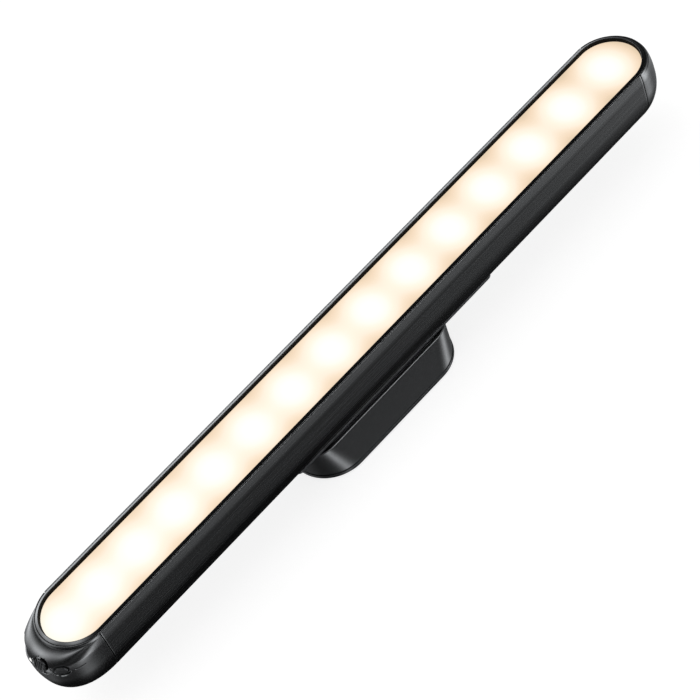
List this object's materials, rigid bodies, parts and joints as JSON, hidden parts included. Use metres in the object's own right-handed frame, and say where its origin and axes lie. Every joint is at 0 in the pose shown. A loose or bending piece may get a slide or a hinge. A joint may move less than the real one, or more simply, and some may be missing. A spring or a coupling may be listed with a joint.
{
  "type": "magnetic light bar",
  "caption": "Long rounded LED light bar with a recessed diffuser, control end cap and a magnetic stick-on base it turns on and lifts off.",
  "frame": {"origin": "centre of the underside of the base's adhesive pad", "axes": "+Z out of the mounting surface towards the lit face, +X along the bar away from the control end, +Y across the bar"},
  "size_m": [0.3398, 0.0332, 0.0428],
  "materials": {
    "housing_metal": "satin black anodised extrusion with fine lengthwise draw lines",
    "bezel_gloss": "gloss black",
    "diffuser": "opal diffuser, lit warm white",
    "reflector_white": "white satin",
    "board_white": "white solder mask",
    "cap_plastic": "satin black moulded",
    "board_green": "green solder mask",
    "bare_steel": "plain bright steel",
    "black_plastic": "black moulded",
    "clear_plastic": "clear light pipe",
    "led_package": "white LED package with amber phosphor",
    "knob_plastic": "satin dark grey moulded",
    "cell_sleeve": "shrink sleeve",
    "nickel": "nickel strip",
    "wire_red": "wire insulation",
    "wire_black": "wire insulation",
    "plate_black": "black painted steel sheet",
    "base_plastic": "satin black moulded",
    "foam_tape": "foam mounting tape",
    "magnet_nickel": "nickel plated",
    "grip_rubber": "matt silicone"
  },
  "bodies": {
    "base": {"base_shell": "base_plastic", "base_bottom_plate": "base_plastic", "base_screw_1": "bare_steel", "base_screw_2": "bare_steel", "base_screw_3": "bare_steel", "base_screw_4": "bare_steel", "adhesive_pad": "foam_tape", "magnet_keeper": "bare_steel", "side_magnet_1": "magnet_nickel", "side_magnet_2": "magnet_nickel", "grip_pad": "grip_rubber"},
    "magnet": {"swivel_magnet": "magnet_nickel"},
    "lamp": {"channel_housing": "housing_metal", "face_bezel": "bezel_gloss", "diffuser_lens": "diffuser", "reflector_frame": "reflector_white", "led_strip_board": "board_white", "control_end_cap": "cap_plastic", "plain_end_cap": "cap_plastic", "control_board": "board_green", "usb_port_shell": "bare_steel", "usb_port_tongue": "black_plastic", "indicator_light_pipe": "clear_plastic", "indicator_led": "led_package", "slide_switch_body": "bare_steel", "tact_switch": "black_plastic", "battery_cell": "cell_sleeve", "battery_tab_negative": "nickel", "battery_tab_positive": "nickel", "battery_wire_red": "wire_red", "battery_wire_black": "wire_black", "steel_back_plate": "plate_black", "back_plate_screw_1": "bare_steel", "back_plate_screw_2": "bare_steel", "led_01": "led_package", "led_02": "led_package", "led_03": "led_package", "led_04": "led_package", "led_05": "led_package", "led_06": "led_package", "led_07": "led_package", "led_08": "led_package", "led_09": "led_package", "led_10": "led_package", "led_11": "led_package", "led_12": "led_package", "led_13": "led_package", "led_14": "led_package", "led_15": "led_package"},
    "slider": {"mode_slider": "knob_plastic"},
    "button": {"power_button": "knob_plastic"}
  },
  "joints": [
    {"name": "lamp_swivel", "type": "hinge", "parent": "base", "child": "magnet", "pos_m": [0, 0, 0.0154], "axis": [0, 0, 1], "continuous": true},
    {"name": "lamp_lift", "type": "slide", "parent": "magnet", "child": "lamp", "axis": [0, 0, 1], "range_m": [0, 0.03]},
    {"name": "slider_travel", "type": "slide", "parent": "lamp", "child": "slider", "axis": [0.1292, -0.9916, 0], "range_m": [-0.0011, 0.0011]},
    {"name": "button_press", "type": "slide", "parent": "lamp", "child": "button", "axis": [0.7005, 0.7136, 0], "range_m": [0, 0.0005]}
  ]
}
